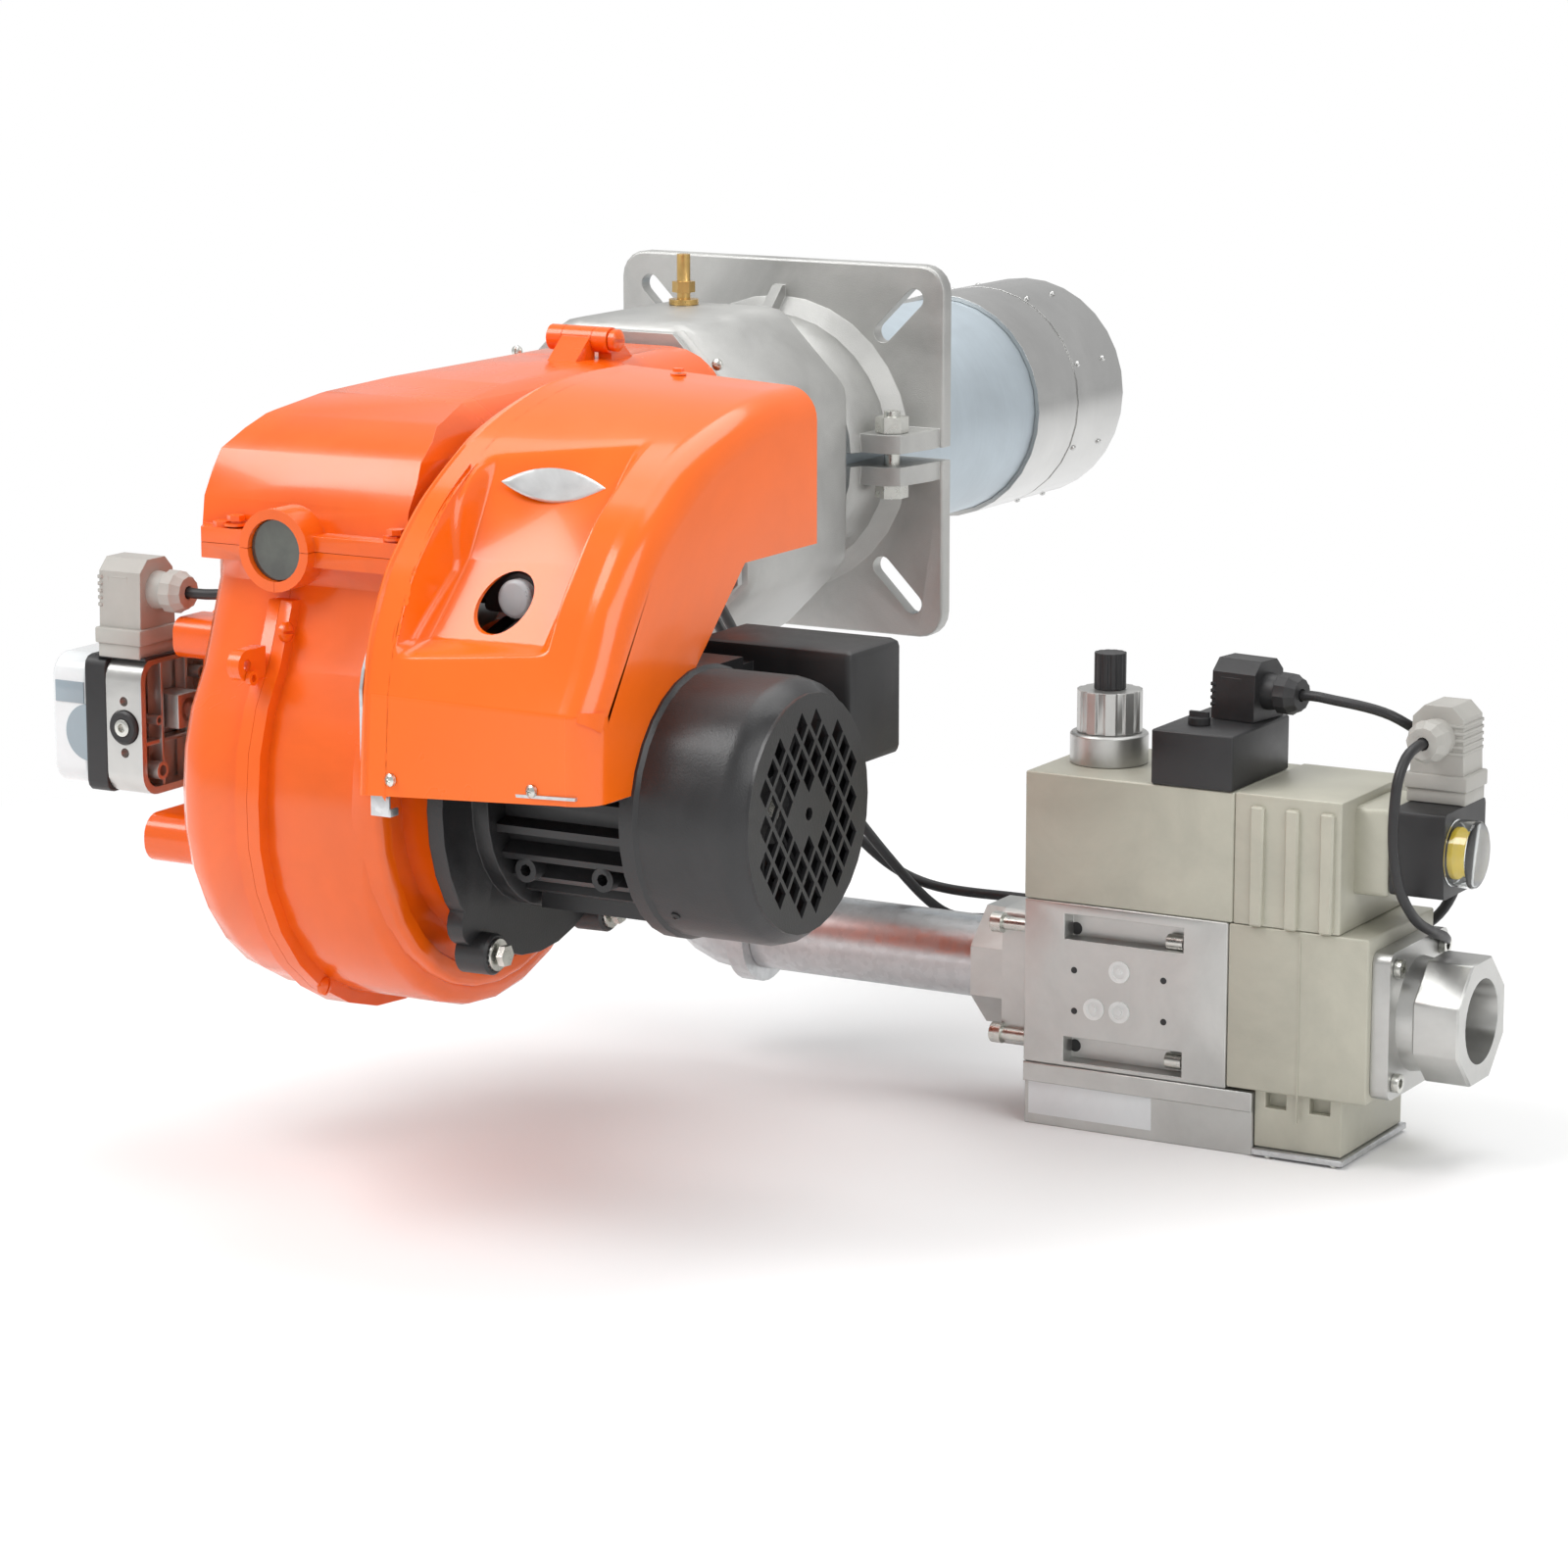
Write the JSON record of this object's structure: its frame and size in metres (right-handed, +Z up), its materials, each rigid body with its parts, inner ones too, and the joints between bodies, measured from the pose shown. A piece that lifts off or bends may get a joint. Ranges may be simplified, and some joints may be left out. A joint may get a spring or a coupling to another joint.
{
  "type": "gas burner",
  "caption": "Forced-draught gas burner with a blast tube, split flange, blower casing, side motor under a hood, and a gas train with a multi-block valve.",
  "frame": {"origin": "axis of the combustion head, at the face of the fixing flange that meets the boiler", "axes": "+Y along the head into the boiler, +X towards the motor and the gas inlet, +Z up"},
  "size_m": [0.8951, 1.141, 0.5983],
  "materials": {
    "cast_alloy": "cast, satin",
    "zinc_steel": "zinc plated",
    "stainless": "bright",
    "tube_steel": "satin",
    "orange_paint": "gloss",
    "orange_plastic": "gloss",
    "black_paint": "satin",
    "black_plastic": "matt",
    "grey_plastic": "matt",
    "beige_cast": "satin",
    "clear_plastic": "gloss",
    "frosted_plastic": "frosted",
    "dark_glass": "gloss",
    "yellow_plastic": "matt",
    "ceramic": "glazed",
    "brass": "satin",
    "black_rubber": "matt"
  },
  "bodies": {
    "flange": {"flange_upper": "cast_alloy", "flange_lower": "cast_alloy", "clamp_bolt_right": "zinc_steel", "clamp_bolt_left": "zinc_steel"},
    "burner": {"blast_tube": "tube_steel", "head_sleeve": "stainless", "head_block": "cast_alloy", "block_plate": "cast_alloy", "test_nipple": "brass", "duct_neck": "orange_paint", "volute_left": "orange_paint", "volute_right": "orange_paint", "hinge_pin": "orange_paint", "sight_glass": "dark_glass", "motor_plate": "black_paint", "motor_frame": "black_paint", "fan_cowl": "black_paint", "terminal_box": "black_plastic", "air_intake": "orange_paint", "damper_motor": "black_plastic", "air_switch_base": "cast_alloy", "air_switch_band": "black_plastic", "air_switch_cover": "frosted_plastic", "air_switch_plug": "grey_plastic", "control_hood": "orange_plastic", "hood_tray": "zinc_steel", "control_box": "black_plastic", "gas_elbow": "zinc_steel", "gas_pipe": "zinc_steel", "outlet_flange": "cast_alloy", "valve_body": "cast_alloy", "valve_cover": "beige_cast", "valve_base": "cast_alloy", "filter_housing": "beige_cast", "regulator_housing": "beige_cast", "foot_plate": "zinc_steel", "inlet_flange": "cast_alloy", "knob_base": "cast_alloy", "valve_module": "black_plastic", "valve_plug": "black_plastic", "gas_switch": "black_plastic", "dial_window": "clear_plastic", "gas_switch_plug": "grey_plastic", "valve_cable": "black_rubber", "switch_cable": "black_rubber", "air_switch_cable": "black_rubber"},
    "rotor": {"motor_shaft": "stainless", "fan_wheel": "zinc_steel", "cooling_fan": "black_plastic"},
    "cover": {"scroll_cover": "orange_paint"},
    "damper": {"air_damper": "zinc_steel"},
    "mixer": {"mixing_head": "stainless", "ignition_electrode": "ceramic", "flame_rod": "ceramic"},
    "button": {"reset_button": "frosted_plastic"},
    "ring": {"flow_ring": "cast_alloy"},
    "cap": {"flow_cap": "black_plastic"},
    "pointer": {"pointer_knob": "black_plastic"},
    "dial": {"gas_dial": "yellow_plastic"}
  },
  "joints": [
    {"name": "head_insertion", "type": "slide", "parent": "flange", "child": "burner", "axis": [0, 1, 0], "range_m": [-0.22, 0]},
    {"name": "rotor_spin", "type": "hinge", "parent": "burner", "child": "rotor", "pos_m": [0, -0.572, -0.15], "axis": [1, 0, 0], "continuous": true},
    {"name": "cover_hinge", "type": "hinge", "parent": "burner", "child": "cover", "pos_m": [0.032, -0.345, 0.113], "axis": [-1, 0, 0], "range_deg": [0, 65]},
    {"name": "damper_turn", "type": "hinge", "parent": "burner", "child": "damper", "pos_m": [-0.16, -0.445, -0.15], "axis": [1, 0, 0], "range_deg": [0, 90]},
    {"name": "mixer_slide", "type": "slide", "parent": "burner", "child": "mixer", "axis": [0, 1, 0], "range_m": [0, 0.025]},
    {"name": "reset_press", "type": "slide", "parent": "burner", "child": "button", "axis": [0, 1, 0], "range_m": [0, 0.004], "stiffness_N_per_m": 1200, "springref_m": -0.002},
    {"name": "flow_turn", "type": "hinge", "parent": "burner", "child": "ring", "pos_m": [0.345, -0.145, -0.16], "axis": [0, 0, 1], "range_deg": [0, 300]},
    {"name": "cap_turn", "type": "hinge", "parent": "burner", "child": "cap", "pos_m": [0.345, -0.145, -0.13], "axis": [0, 0, 1], "continuous": true},
    {"name": "pointer_turn", "type": "hinge", "parent": "burner", "child": "pointer", "pos_m": [0.4275, -0.173, -0.15], "axis": [0, 0, 1], "range_deg": [0, 270]},
    {"name": "dial_turn", "type": "hinge", "parent": "burner", "child": "dial", "pos_m": [0.616, -0.161, -0.224], "axis": [1, 0, 0], "range_deg": [0, 300]}
  ]
}
